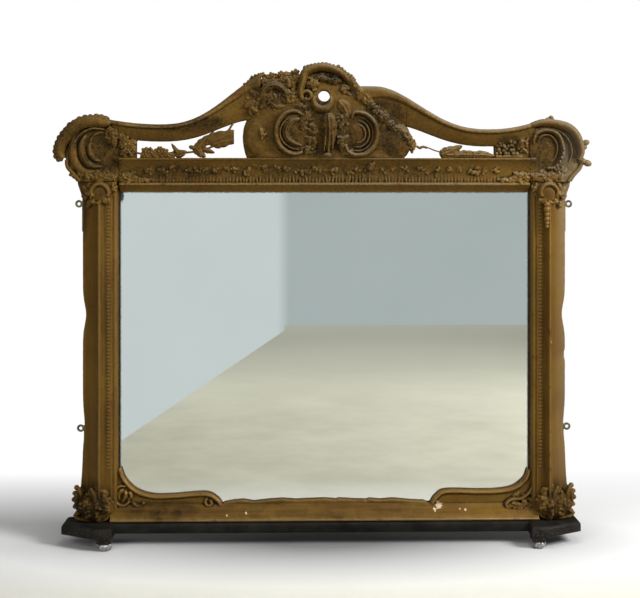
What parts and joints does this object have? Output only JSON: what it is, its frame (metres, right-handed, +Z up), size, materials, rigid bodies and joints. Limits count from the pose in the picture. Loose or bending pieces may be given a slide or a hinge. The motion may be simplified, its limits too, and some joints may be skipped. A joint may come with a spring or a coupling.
{
  "type": "overmantel wall mirror",
  "caption": "Wide overmantel mirror in a carved and gilded frame with a pierced swept crest, scrolled ears and a black base on small bun feet, fixed to a wall by eye plates.",
  "frame": {"origin": "on the backboard's back face, the wall plane, behind the middle of the glass", "axes": "+Z up, +X to the right seen from the front, +Y into the wall; the front faces -Y"},
  "size_m": [1.5456, 0.13, 1.3757],
  "materials": {
    "silvered_glass": "old silvered plate glass, slightly grey, spotted at the edge",
    "pine": "bare aged pine boards",
    "gilt": "worn oil gilding on gesso and carved wood, dark in the hollows",
    "ebonised": "black paint, dull and scuffed along the edges",
    "white_metal": "tarnished white metal",
    "eye_brass": "dull tarnished brass plate"
  },
  "bodies": {
    "root": {"mirror_glass": "silvered_glass", "backboard": "pine", "left_stile": "gilt", "right_stile": "gilt", "top_rail": "gilt", "bottom_rail": "gilt", "left_ear": "gilt", "right_ear": "gilt", "left_crest_rail": "gilt", "right_crest_rail": "gilt", "cartouche": "gilt", "left_spray": "gilt", "right_spray": "gilt", "base": "ebonised", "left_foot": "white_metal", "right_foot": "white_metal", "upper_left_eye": "eye_brass", "upper_right_eye": "eye_brass", "lower_left_eye": "eye_brass", "lower_right_eye": "eye_brass"}
  },
  "joints": []
}
